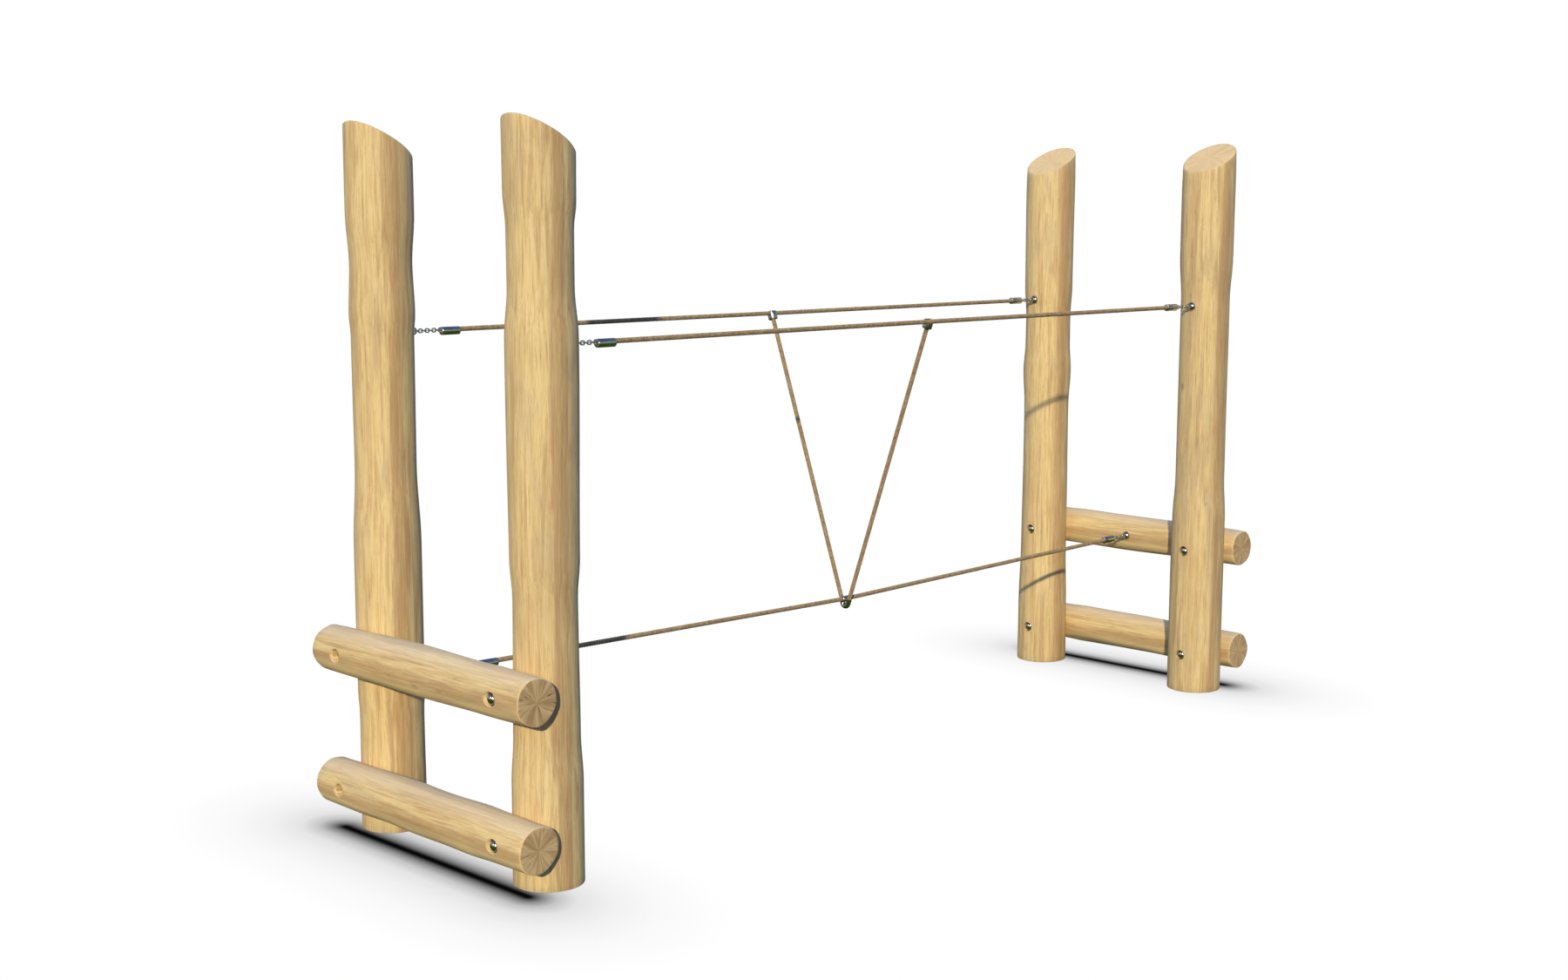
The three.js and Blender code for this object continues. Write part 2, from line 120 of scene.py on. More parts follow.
# ---- material helpers ----
def new_material(name):
    material = bpy.data.materials.new(name)
    material.use_nodes = True
    nodes = material.node_tree.nodes
    nodes.clear()
    shader = nodes.new("ShaderNodeBsdfPrincipled")
    output = nodes.new("ShaderNodeOutputMaterial")
    material.node_tree.links.new(shader.outputs["BSDF"], output.inputs["Surface"])
    return material, shader


class Graph:
    """Short calls for building a node tree."""

    def __init__(self, tree):
        self.tree = tree

    def node(self, kind, **values):
        made = self.tree.nodes.new(kind)
        for key, value in values.items():
            setattr(made, key, value)
        return made

    def link(self, source, target):
        self.tree.links.new(source, target)

    def put(self, socket, value):
        if isinstance(value, bpy.types.NodeSocket):
            self.link(value, socket)
        else:
            socket.default_value = value

    def math(self, operation, a, b=0.0, c=0.0):
        made = self.node("ShaderNodeMath", operation=operation)
        self.put(made.inputs[0], a)
        self.put(made.inputs[1], b)
        self.put(made.inputs[2], c)
        return made.outputs[0]

    def vector_math(self, operation, a, b=(0, 0, 0), output=0):
        made = self.node("ShaderNodeVectorMath", operation=operation)
        self.put(made.inputs[0], a)
        self.put(made.inputs[1], b)
        return made.outputs[output]

    def dot(self, a, b):
        return self.vector_math("DOT_PRODUCT", a, b, "Value")

    def split(self, vector):
        made = self.node("ShaderNodeSeparateXYZ")
        self.link(vector, made.inputs[0])
        return made.outputs["X"], made.outputs["Y"], made.outputs["Z"]

    def combine(self, x, y, z=0.0):
        made = self.node("ShaderNodeCombineXYZ")
        for socket, value in zip(made.inputs, (x, y, z)):
            self.put(socket, value)
        return made.outputs[0]

    def attribute(self, name):
        return self.node("ShaderNodeAttribute", attribute_name=name).outputs["Vector"]

    def noise(self, vector, scale, detail=3.0, roughness=0.5, distortion=0.0):
        made = self.node("ShaderNodeTexNoise")
        self.link(vector, made.inputs["Vector"])
        made.inputs["Scale"].default_value = scale
        made.inputs["Detail"].default_value = detail
        made.inputs["Roughness"].default_value = roughness
        made.inputs["Distortion"].default_value = distortion
        return made.outputs["Fac"]

    def scaled(self, vector, scale):
        made = self.node("ShaderNodeMapping")
        self.link(vector, made.inputs["Vector"])
        made.inputs["Scale"].default_value = scale
        return made.outputs["Vector"]

    def ramp(self, value, stops):
        made = self.node("ShaderNodeValToRGB")
        self.link(value, made.inputs["Fac"])
        elements = made.color_ramp.elements
        while len(elements) < len(stops):
            elements.new(0.5)
        for element, (place, colour) in zip(elements, stops):
            element.position = place
            element.color = (*colour, 1) if hasattr(colour, "__len__") else (colour,) * 3 + (1,)
        return made.outputs["Color"]

    def mix(self, factor, a, b):
        made = self.node("ShaderNodeMix", data_type="RGBA")
        made.clamp_factor = True
        self.put(made.inputs["Factor"], factor)
        for socket, value in ((made.inputs[6], a), (made.inputs[7], b)):
            if isinstance(value, tuple):
                value = (*value, 1)
            self.put(socket, value)
        return made.outputs[2]

    def tint(self, colour, mask, strength, other):
        """Moves a colour toward another one where the mask is on."""
        return self.mix(self.math("MULTIPLY", mask, strength), colour, other)

    def step(self, value, low, high):
        made = self.node("ShaderNodeMapRange", interpolation_type="SMOOTHSTEP")
        self.link(value, made.inputs["Value"])
        made.inputs["From Min"].default_value = low
        made.inputs["From Max"].default_value = high
        return made.outputs["Result"]

    def bump(self, height, distance, strength):
        made = self.node("ShaderNodeBump")
        self.link(height, made.inputs["Height"])
        made.inputs["Distance"].default_value = distance
        made.inputs["Strength"].default_value = strength
        return made.outputs["Normal"]


# ---- timber: grain runs along local Z, the pith is on the axis ----
HONEY = (0.665, 0.465, 0.178)
PALE = (0.740, 0.540, 0.218)
STREAK = (0.500, 0.322, 0.125)
GREYED = (0.470, 0.350, 0.180)
WARM = (0.520, 0.325, 0.130)
SMUDGE = (0.78, 0.56, 0.26)
FIBRE_LIGHT = (0.76, 0.55, 0.26)
FIBRE_DARK = (0.36, 0.215, 0.085)
REDDISH = (0.500, 0.275, 0.110)
PORE = (0.30, 0.18, 0.08)
SPLIT = (0.17, 0.095, 0.045)
KNOT = (0.22, 0.13, 0.06)
HEARTWOOD_AND_SHADE = (0.415, 0.225, 0.085)
PAINTED_TOP_LIGHT = (0.86, 0.66, 0.39)
PAINTED_BOUNCE_LIGHT = (0.92, 0.68, 0.30)
RIM_HIGHLIGHT = (0.72, 0.51, 0.25)
END_WEDGES = [(0.36, (0.40, 0.235, 0.090)), (0.47, (0.49, 0.305, 0.120)),
              (0.56, (0.64, 0.450, 0.195)), (0.64, (0.44, 0.260, 0.100))]
END_RAY = (0.64, 0.45, 0.19)
END_PAINTED_TOP_LIGHT = (0.980, 0.668, 0.292)
END_RING = (0.25, 0.16, 0.08)
END_CHECK = (0.12, 0.07, 0.035)


def side_colour(g, local, bands, fibres, dashes, splits):
    """Bands, patches, fibres and knots of the round side, all drawn out along the grain."""
    patches = g.noise(g.scaled(local, (1, 1, 0.30)), 10, 4, 0.60, 0.3)
    smudges = g.noise(g.scaled(local, (1, 1, 0.12)), 60, 4, 0.65, 0.2)
    warm = g.noise(g.scaled(local, (1, 1, 0.06)), 19, 4, 0.6, 0.5)
    reds = g.noise(g.scaled(local, (1, 1, 0.055)), 150, 5, 0.72)
    knot_place = g.node("ShaderNodeTexVoronoi")
    g.link(g.scaled(local, (1, 1, 0.45)), knot_place.inputs["Vector"])
    knot_place.inputs["Scale"].default_value = 5.0
    knots = g.step(knot_place.outputs["Distance"], 0.060, 0.015)
    colour = g.ramp(bands, [(0.36, STREAK), (0.45, HONEY), (0.53, PALE), (0.60, HONEY), (0.68, STREAK)])
    colour = g.tint(colour, g.step(warm, 0.50, 0.62), 0.40, WARM)
    colour = g.tint(colour, g.step(patches, 0.50, 0.66), 0.45, GREYED)
    colour = g.tint(colour, g.step(smudges, 0.50, 0.64), 0.30, SMUDGE)
    colour = g.tint(colour, g.step(fibres, 0.50, 0.64), 0.22, FIBRE_LIGHT)
    colour = g.tint(colour, g.step(fibres, 0.48, 0.36), 0.28, FIBRE_DARK)
    colour = g.tint(colour, g.step(reds, 0.51, 0.61), 0.55, REDDISH)
    colour = g.tint(colour, dashes, 0.17, PORE)
    colour = g.tint(colour, splits, 0.38, SPLIT)
    return g.tint(colour, knots, 0.55, KNOT)


def weathered(g, colour, local, outward, fibres):
    """Adds the dark stripe, heartwood that on the posts is painted shade too, then painted light: the upper
    side paler and painted bounce light on the underside.
    """
    ragged = g.math("MULTIPLY_ADD", g.noise(g.scaled(local, (1, 1, 0.06)), 34, 4, 0.6), 0.20, -0.10)
    # painted shade: besides the heartwood streaks, the stripe darkens the same side of every post as shade
    heart_and_shade = g.step(g.math("ADD", g.dot(outward, g.attribute("heartwood_and_shade_side")), ragged), 0.945, 0.99)
    heart_and_shade = g.math("MULTIPLY", heart_and_shade, g.math("MULTIPLY_ADD", fibres, -0.8, 0.92))
    colour = g.mix(heart_and_shade, colour, HEARTWOOD_AND_SHADE)
    skyward = g.dot(outward, g.attribute("up_side"))
    # painted light: the upper side of a rung is painted paler
    colour = g.tint(colour, g.step(skyward, 0.50, 0.95), 0.50, PAINTED_TOP_LIGHT)
    # painted bounce light: the underside of a rung is painted lighter
    return g.tint(colour, g.step(skyward, -0.10, -0.60), 0.50, PAINTED_BOUNCE_LIGHT)


def end_grain(g, local, seed, x, y, slanted):
    """Colour, rays and drying checks of a sawn end; the slanted tops get painted light, a paler colour, and
    are checked less.
    """
    radius = g.math("SQRT", g.math("ADD", g.math("MULTIPLY", x, x), g.math("MULTIPLY", y, y)))
    angle = g.math("ARCTAN2", y, x)
    spin = g.combine(g.math("COSINE", angle), g.math("SINE", angle), g.math("MULTIPLY", radius, 2.5))
    around = g.vector_math("ADD", spin, seed)
    wedges = g.noise(around, 2.3, 3, 0.60)
    rays = g.noise(around, 11, 4, 0.7)
    wobble = g.math("MULTIPLY", g.noise(local, 30, 2), 0.012)
    rings = g.math("SINE", g.math("MULTIPLY", g.math("ADD", radius, wobble), 900))
    colour = g.ramp(wedges, END_WEDGES)
    colour = g.tint(colour, g.step(rays, 0.44, 0.62), 0.22, END_RAY)
    colour = g.tint(colour, g.step(rings, 0.3, 0.9), 0.06, END_RING)
    # painted light: the slanted post tops are painted paler, standing in for the light from above
    colour = g.tint(colour, slanted, 0.60, END_PAINTED_TOP_LIGHT)
    checks = g.step(g.noise(around, 9, 1, 0.4), 0.70, 0.76)
    checks = g.math("MULTIPLY", checks, g.math("MULTIPLY_ADD", slanted, -0.85, 1.0))
    return g.tint(colour, checks, 0.8, END_CHECK), rays, checks


def make_wood():
    material, shader = new_material("robinia")
    g = Graph(material.node_tree)
    place = g.node("ShaderNodeTexCoord")
    seed = g.attribute("grain_seed")
    local = g.vector_math("ADD", place.outputs["Object"], seed)
    bands = g.noise(g.scaled(local, (1, 1, 0.040)), 46, 5, 0.62, 0.35)
    fibres = g.noise(g.scaled(local, (1, 1, 0.030)), 300, 4, 0.70)
    dashes = g.step(g.noise(g.scaled(local, (1, 1, 0.07)), 420, 2, 0.5), 0.62, 0.74)
    wander = g.noise(g.scaled(local, (1, 1, 0.014)), 24, 1.5, 0.5)
    split = g.step(g.math("ABSOLUTE", g.math("SUBTRACT", wander, 0.5)), 0.0045, 0.0010)
    where = g.step(g.noise(g.scaled(local, (1, 1, 0.35)), 5.5, 2, 0.5), 0.53, 0.60)
    splits = g.math("MULTIPLY", split, where)

    x, y, _ = g.split(place.outputs["Object"])
    upward = g.math("ABSOLUTE", g.split(place.outputs["Normal"])[2])
    outward = g.vector_math("NORMALIZE", g.combine(x, y))
    colour = side_colour(g, local, bands, fibres, dashes, splits)
    colour = weathered(g, colour, local, outward, fibres)
    # painted highlight: the rounded rims at the ends are painted lighter, as edges that catch the light
    colour = g.tint(colour, g.step(upward, 0.25, 0.55), 0.35, RIM_HIGHLIGHT)
    sawn, rays, checks = end_grain(g, local, seed, x, y, g.step(upward, 0.96, 0.90))
    is_end = g.step(upward, 0.70, 0.82)
    g.link(g.mix(is_end, colour, sawn), shader.inputs["Base Color"])
    g.link(g.math("MULTIPLY_ADD", fibres, 0.25, 0.50), shader.inputs["Roughness"])

    side_height = g.math("SUBTRACT", g.math("MULTIPLY", fibres, 0.8), dashes)
    side_height = g.math("ADD", side_height, g.math("MULTIPLY", bands, 1.2))
    side_height = g.math("SUBTRACT", side_height, g.math("MULTIPLY", splits, 0.8))
    end_height = g.math("SUBTRACT", rays, g.math("MULTIPLY", checks, 2.5))
    height = g.node("ShaderNodeMix", data_type="FLOAT")
    g.link(is_end, height.inputs["Factor"])
    g.link(side_height, height.inputs[2])
    g.link(end_height, height.inputs[3])
    g.link(g.bump(height.outputs[0], 0.0006, 0.8), shader.inputs["Normal"])
    shader.inputs["Specular IOR Level"].default_value = 0.3
    return material


# ---- rope: local X runs along the rope, six strands twist round it ----
STRANDS = 6
LAY = 0.064
YARNS = 34
YARN_SLANT = 420
ROPE_TONES = [(0.34, (0.255, 0.153, 0.060)), (0.48, (0.375, 0.243, 0.100)), (0.62, (0.510, 0.357, 0.163))]
ROPE_YARN = (0.540, 0.390, 0.190)
ROPE_RUST = (0.43, 0.24, 0.09)
ROPE_FLECK = (0.085, 0.050, 0.022)
ROPE_VALLEY_SHADE = (0.090, 0.058, 0.028)


def make_rope_material():
    material, shader = new_material("laid_rope")
    g = Graph(material.node_tree)
    place = g.node("ShaderNodeTexCoord").outputs["Object"]
    x, y, z = g.split(place)
    angle = g.math("ARCTAN2", z, y)
    turn = g.math("SUBTRACT", g.math("DIVIDE", angle, 2 * math.pi), g.math("DIVIDE", x, LAY))
    across = g.math("FRACT", g.math("MULTIPLY", turn, STRANDS))
    valley_shade = g.step(g.math("ABSOLUTE", g.math("SUBTRACT", across, 0.5)), 0.36, 0.5)
    shift = g.math("MULTIPLY", g.noise(g.scaled(place, (0.3, 1, 1)), 260, 2), 5.0)
    slant = g.math("ADD", g.math("MULTIPLY", angle, YARNS), g.math("MULTIPLY", x, YARN_SLANT))
    yarns = g.math("MULTIPLY_ADD", g.math("SINE", g.math("ADD", slant, shift)), 0.5, 0.5)
    tone = g.noise(g.scaled(place, (0.6, 1, 1)), 110, 4, 0.70)
    flecks = g.noise(g.scaled(place, (0.6, 1, 1)), 230, 3, 0.6)
    rust = g.noise(g.scaled(place, (0.5, 1, 1)), 120, 3, 0.6)
    colour = g.ramp(tone, ROPE_TONES)
    colour = g.tint(colour, yarns, 0.20, ROPE_YARN)
    colour = g.tint(colour, g.step(rust, 0.54, 0.66), 0.55, ROPE_RUST)
    colour = g.tint(colour, g.step(flecks, 0.57, 0.66), 0.75, ROPE_FLECK)
    # painted shade: the valleys between the strands are painted dark
    colour = g.tint(colour, valley_shade, 0.66, ROPE_VALLEY_SHADE)
    g.link(colour, shader.inputs["Base Color"])
    shader.inputs["Roughness"].default_value = 0.85
    shader.inputs["Sheen Weight"].default_value = 0.10
    shader.inputs["Sheen Roughness"].default_value = 0.5
    shader.inputs["Specular IOR Level"].default_value = 0.2
    height = g.math("ADD", yarns, g.math("MULTIPLY", flecks, 0.8))
    g.link(g.bump(height, 0.0004, 0.9), shader.inputs["Normal"])
    return material


# ---- polished stainless steel ----
STEEL_TONES = [(0.3, (0.48, 0.475, 0.44)), (0.7, (0.62, 0.615, 0.57))]


def make_steel(name, polish):
    material, shader = new_material(name)
    g = Graph(material.node_tree)
    place = g.node("ShaderNodeTexCoord").outputs["Object"]
    smudge = g.noise(place, 60, 3, 0.6)
    scratch = g.noise(g.scaled(place, (0.08, 1, 1)), 1500, 2, 0.5)
    g.link(g.ramp(smudge, STEEL_TONES), shader.inputs["Base Color"])
    shader.inputs["Metallic"].default_value = 1.0
    g.link(g.math("MULTIPLY_ADD", smudge, 0.16, polish), shader.inputs["Roughness"])
    g.link(g.bump(scratch, 0.00004, 0.4), shader.inputs["Normal"])
    return material


# ---- painted shade: dark rings under the caps, for the shadow in the counterbores ----
def make_shade_ring_material():
    # painted shade: a near-black colour with slight variation, for the shadow in the counterbores
    material, shader = new_material("shade_ring_material")
    g = Graph(material.node_tree)
    place = g.node("ShaderNodeTexCoord").outputs["Object"]
    shade_ring_tone = g.noise(place, 240, 3, 0.6)
    g.link(g.ramp(shade_ring_tone, [(0.40, (0.020, 0.019, 0.017)), (0.70, (0.060, 0.052, 0.040))]),
           shader.inputs["Base Color"])
    g.link(g.math("MULTIPLY_ADD", shade_ring_tone, 0.2, 0.65), shader.inputs["Roughness"])
    g.link(g.bump(shade_ring_tone, 0.0002, 0.5), shader.inputs["Normal"])
    return material


wood = make_wood()
shade_ring_material = make_shade_ring_material()
rope_material = make_rope_material()
steel = make_steel("stainless", 0.05)
satin = make_steel("satin_stainless", 0.12)


# ---- mesh helpers ----
SMOOTH_BELOW = 38
TURNED_SMOOTH_BELOW = 50


def edit_mesh(mesh, turn_outward=True, smooth_below=None):
    """Turns a closed mesh's faces outward and shades it smooth, apart from edges sharper than the limit."""
    edited = bmesh.new()
    edited.from_mesh(mesh)
    if turn_outward:
        bmesh.ops.recalc_face_normals(edited, faces=edited.faces)
    if smooth_below is not None:
        limit = math.radians(smooth_below)
        for face in edited.faces:
            face.smooth = True
        for edge in edited.edges:
            edge.smooth = not edge.is_manifold or edge.calc_face_angle(0) < limit
    edited.to_mesh(mesh)
    edited.free()


def reshade(obj, smooth_below=SMOOTH_BELOW):
    edit_mesh(obj.data, turn_outward=False, smooth_below=smooth_below)


def new_object(name, mesh):
    made = bpy.data.objects.new(name, mesh)
    bpy.context.scene.collection.objects.link(made)
    return made


def finish_mesh(name, mesh, material, smooth_below=SMOOTH_BELOW):
    edit_mesh(mesh, smooth_below=smooth_below)
    mesh.materials.clear()
    mesh.materials.append(material)
    return new_object(name, mesh)


def mesh_from(name, points, faces):
    mesh = bpy.data.meshes.new(name)
    mesh.from_pydata([tuple(p) for p in points], [], faces)
    mesh.validate()
    return mesh


def skin(rings, loop=False):
    """Points and faces through rings of equal length, closed at both ends unless they make a loop."""
    count = len(rings[0])
    points = [p for ring in rings for p in ring]
    faces = []
    last = len(rings) if loop else len(rings) - 1
    for i in range(last):
        a, b = i * count, ((i + 1) % len(rings)) * count
        for k in range(count):
            n = (k + 1) % count
            faces.append((a + k, a + n, b + n, b + k))
    if not loop:
        faces.append(tuple(range(count - 1, -1, -1)))
        faces.append(tuple(range((len(rings) - 1) * count, len(rings) * count)))
    return points, faces


def lathe_x(profile, sides=32, start=0.0):
    """Rings about local X through (x, radius) points."""
    rings = []
    for x, radius in profile:
        rings.append([Vector((start + x, radius * math.cos(2 * math.pi * k / sides),
                              radius * math.sin(2 * math.pi * k / sides))) for k in range(sides)])
    return skin(rings)


def loop_wire(centre_x, inner, wire, stretch, flat, segments=36, sides=14):
    """A round or stretched wire loop, flat in XY or standing in XZ, as points and faces."""
    rings = []
    radius = inner + wire
    for i in range(segments):
        a = 2 * math.pi * (i + 0.5) / segments
        shift = math.copysign(stretch / 2, math.cos(a))
        ring = []
        for k in range(sides):
            b = 2 * math.pi * k / sides
            out = radius + wire * math.cos(b)
            x, u, w = out * math.cos(a) + shift, out * math.sin(a), wire * math.sin(b)
            ring.append(Vector((centre_x + x, u, w)) if flat else Vector((centre_x + x, w, u)))
        rings.append(ring)
    return skin(rings, loop=True)


def joined(*shells):
    points, faces = [], []
    for shell_points, shell_faces in shells:
        offset = len(points)
        points += shell_points
        faces += [tuple(i + offset for i in face) for face in shell_faces]
    return points, faces


def moved(shell, matrix):
    points, faces = shell
    return [matrix @ p for p in points], faces


def apply_modifiers(obj):
    bpy.context.view_layer.update()
    graph = bpy.context.evaluated_depsgraph_get()
    result = bpy.data.meshes.new_from_object(obj.evaluated_get(graph))
    obj.modifiers.clear()
    obj.data = result


def cut(target, *shells, operation="DIFFERENCE"):
    """Cuts closed shells out of a mesh object, or joins them to it, and applies the result."""
    tool_mesh = mesh_from("cutter", *joined(*shells))
    tool = new_object("cutter", tool_mesh)
    tool.matrix_world = target.matrix_world
    edit_mesh(tool_mesh)
    modifier = target.modifiers.new("cut", "BOOLEAN")
    modifier.operation = operation
    modifier.solver = "EXACT"
    modifier.object = tool
    apply_modifiers(target)
    bpy.data.objects.remove(tool, do_unlink=True)


def place_on(obj, body, slot, *nodes, matrix=None):
    if matrix is not None:
        obj.matrix_world = matrix
    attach(obj, body)
    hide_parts(*nodes)


def along_x(origin, direction):
    """A frame at origin with local X along direction and local Z kept upward."""
    forward = direction.normalized()
    side = Vector((0, 0, 1)).cross(forward).normalized()
    upward = forward.cross(side)
    turn = Matrix((forward, side, upward)).transposed().to_4x4()
    return Matrix.Translation(origin) @ turn


# ---- half ropes and V legs ----
POINTS_PER_STRAND = 8
STRAND_VALLEY = 0.0014
ROPE_STEP = 0.004
ROPE_LAP = 0.0034
LAP_THINNING = 0.95
STRAND_CREST = 1.035 * ROPE_RADIUS


def strand_radius(angle):
    """The outer edge of six laid strands at one angle: round backs, narrow valleys."""
    half = math.pi / STRANDS
    off = ((angle + half) % (2 * half) - half) / half
    return STRAND_CREST - STRAND_VALLEY * off * off


def make_rope(name, start, end, body, node, lap=0.0):
    """A straight laid rope from start to end.

    Its local X runs back from the end. A lap carries a slightly thinner core past the end,
    so that the two halves of one rope stay joined inside their clamp as it sways.
    """
    matrix = along_x(end, start - end)
    length = (end - start).length
    count = STRANDS * POINTS_PER_STRAND
    steps = round(length / ROPE_STEP)
    stations = [(length * i / steps, 1.0) for i in range(steps + 1)]
    if lap:
        stations = [(-lap, LAP_THINNING), (-ROPE_STEP / 20, LAP_THINNING)] + stations
    rings = []
    for x, factor in stations:
        twist = 2 * math.pi * x / LAY
        ring = []
        for k in range(count):
            a = 2 * math.pi * k / count
            r = strand_radius(a) * factor
            ring.append(Vector((x, r * math.cos(a + twist), r * math.sin(a + twist))))
        rings.append(ring)
    rope = finish_mesh(name, mesh_from(name, *skin(rings)), rope_material, 60)
    place_on(rope, body, "rope", node, matrix=matrix)


def chain_end(links):
    return -EYE_WIRE - LINK_GAP + links * LINK_PITCH + (links - 1) * LINK_WELD


def ferrule_start(links):
    return chain_end(links) - LINK_GAP + 2 * LUG_INNER


def head_floor(side, row):
    """Distance from mid-span to the seat of a bolt head; the left back pair is sunk deeper."""
    depth = RUNG_BORE_DEEP if side < 0 and row > 0 else RUNG_BORE_DEPTH
    return SPAN / 2 + RUNG_OFFSET + RUNG_RADIUS_AT_POST - depth


def post_radius(outline, height, smooth=False):
    """Radius of a post at a height: straight between the outline's points as in the CAD, or smooth."""
    millimetres = height * 1000
    i = 1
    while i < len(outline) - 1 and outline[i][0] < millimetres:
        i += 1
    (z0, d0), (z1, d1) = outline[i - 1], outline[i]
    t = min(max((millimetres - z0) / (z1 - z0), 0), 1)
    if smooth:
        t = t * t * (3 - 2 * t)
    return (d0 + (d1 - d0) * t) / 2000


def rope_end_frames():
    """The pivot and the inner end of each half rope."""
    for name, side, row, post, links in ROPE_ENDS:
        foot = row == 0
        height = FOOT_HEIGHT_END if foot else HAND_HEIGHT
        face = (SPAN / 2 + RUNG_OFFSET - RUNG_RADIUS_AT_MIDDLE if foot
                else SPAN / 2 - post_radius(POST_OUTLINES[post], HAND_HEIGHT))
        pivot = Vector((side * (face - SCREW_SEAT), row * WIDTH / 2, height))
        middle = Vector((0, row * HAND_HALF_WIDTH_MIDDLE, FOOT_HEIGHT_MIDDLE if foot else HAND_HEIGHT))
        yield name, side, row, links, pivot, middle


for name, side, row, links, pivot, middle in rope_end_frames():
    forward = (middle - pivot).normalized()
    start = pivot + forward * (ferrule_start(links) + FERRULE_FLOOR + GAP)
    end = middle - forward * ROPE_END_GAP
    make_rope(name + "_strands", start, end, name + "_half", name, ROPE_LAP)

bend_centre = Vector((0, FOOT_HEIGHT_MIDDLE - SADDLE_DROP))
leg_top = Vector((HAND_HALF_WIDTH_MIDDLE, HAND_HEIGHT))
to_top = leg_top - bend_centre
tangent_angle = math.atan2(to_top.y, to_top.x) - math.acos(SADDLE_BEND / to_top.length)
tangent = bend_centre + SADDLE_BEND * Vector((math.cos(tangent_angle), math.sin(tangent_angle)))
leg_up = (leg_top - tangent).normalized()
arm_length = (FOOT_HEIGHT_MIDDLE + SADDLE_RISE - tangent.y) / leg_up.y


def leg_point(row, origin, along):
    point = origin + leg_up * along
    return Vector((0, row * point.x, point.y))


for row_name, row in ROWS:
    low = leg_point(row, tangent, arm_length - SADDLE_SEAT + GAP)
    high = leg_point(row, leg_top, -CLAMP_SEAT - GAP)
    make_rope(f"v_rope_{row_name}_strands", high, low, "v_hanger", f"v_rope_leg_{row_name}")


# ---- timber pieces ----
def grained(mesh, seed, heartwood_and_shade_side, up_side=(0, 0, 0)):
    """Gives a timber its own stretch of grain, the side of its dark stripe, which is heartwood and on the
    posts painted shade too, and its upper side, where light is painted.
    """
    offset = (seed * 1.37, seed * 2.11, seed * 3.73)
    for name, value in (("grain_seed", offset), ("heartwood_and_shade_side", heartwood_and_shade_side), ("up_side", up_side)):
        attribute = mesh.attributes.new(name, "FLOAT_VECTOR", "POINT")
        attribute.data.foreach_set("vector", list(value) * len(mesh.vertices))


def timber_radius(radius, angle, along, seed, depth=0.0016):
    """A round radius with the slow swells and shallow flutes of debarked wood."""
    around = Vector((math.cos(angle), math.sin(angle), along * 1.3)) + Vector((seed, 0, seed))
    flutes = Vector((math.cos(angle) * 4, math.sin(angle) * 4, along * 0.8)) + Vector((0, seed, seed))
    return radius + depth * noise.noise(around * 1.4) + 0.0006 * noise.noise(flutes * 1.6)


# side of each post with the dark stripe: heartwood streaks and painted shade
POST_HEARTWOOD_AND_SHADE_SIDE = (-0.19, -0.98, 0)
RUNG_WARM_SIDE = (-0.995, 0.10, 0)
# upper side of a rung, which gets painted light
RUNG_UP_SIDE = (0, -1, 0)
POST_STEPS = 84
POST_RIM = 0.007
SLANT_FROM = 1.95
RUNG_STEPS = 60
RUNG_RIM = 0.004
RUNG_SWELL = 0.0045
AROUND = 72
CAP_RINGS = (0.93, 0.80, 0.62, 0.42, 0.22, 0.06)
NOTCH_CLEARANCE = 0.0006


def rung_matrix(side, level):
    """Local Z along the rung, which lies along Y."""
    place = Matrix.Translation((side * (SPAN / 2 + RUNG_OFFSET), 0, RUNG_HEIGHTS[level]))
    return place @ Matrix.Rotation(-math.pi / 2, 4, "X")


def rung_ring(along, extra, around, seed, factor=1.0):
    """One ring of a rung; extra is added all round, and only a seeded one has swells, between the posts."""
    clear = min((abs(abs(along) - WIDTH / 2) / 0.13) ** 2, 1)
    depth = 0.0006 + 0.0042 * clear
    middle = max(1 - (along / RUNG_HALF) ** 2, 0)
    radius = RUNG_RADIUS_AT_END + RUNG_SWELL * middle ** 0.6
    ring = []
    for k in range(around):
        a = 2 * math.pi * k / around
        r = radius if seed is None else timber_radius(radius, a, 2.4 * along, seed, depth)
        r = (r + extra) * factor
        ring.append(Vector((r * math.cos(a), r * math.sin(a), along)))
    return ring


def rung_shell(extra, steps, around, seed=None):
    """A rung along Z with rounded rims; without a seed it is the plain cutter of the notches."""
    reach = RUNG_HALF + extra
    turns = [math.pi / 2 * i / 3 for i in range(4)]
    cap = extra - RUNG_RIM
    rings = []
    if seed is not None:
        rings += [rung_ring(-RUNG_HALF, cap, around, seed, factor) for factor in reversed(CAP_RINGS)]
    for t in turns:
        rings.append(rung_ring(-reach + RUNG_RIM * (1 - math.cos(t)), extra - RUNG_RIM * (1 - math.sin(t)),
                               around, seed))
    for i in range(1, steps):
        rings.append(rung_ring(-RUNG_HALF + RUNG_RIM + 2 * (RUNG_HALF - RUNG_RIM) * i / steps, extra,
                               around, seed))
    for t in turns:
        rings.append(rung_ring(reach - RUNG_RIM * (1 - math.sin(t)), extra - RUNG_RIM * (1 - math.cos(t)),
                               around, seed))
    if seed is not None:
        rings += [rung_ring(RUNG_HALF, cap, around, seed, factor) for factor in CAP_RINGS]
    return skin(rings)


def post_ring(outline, side, seed, height, shrink=0.0, factor=1.0):
    """One ring of a post, sheared near the top so that the top is cut on a slant."""
    lift = max(height - SLANT_FROM, 0) / (POST_TOP - SLANT_FROM)
    ring = []
    for k in range(AROUND):
        a = 2 * math.pi * k / AROUND
        r = (timber_radius(post_radius(outline, height, True), a, height, seed) - shrink) * factor
        x, y = r * math.cos(a), r * math.sin(a)
        ring.append(Vector((x, y, height + lift * side * x * CUT_SLOPE)))
    return ring


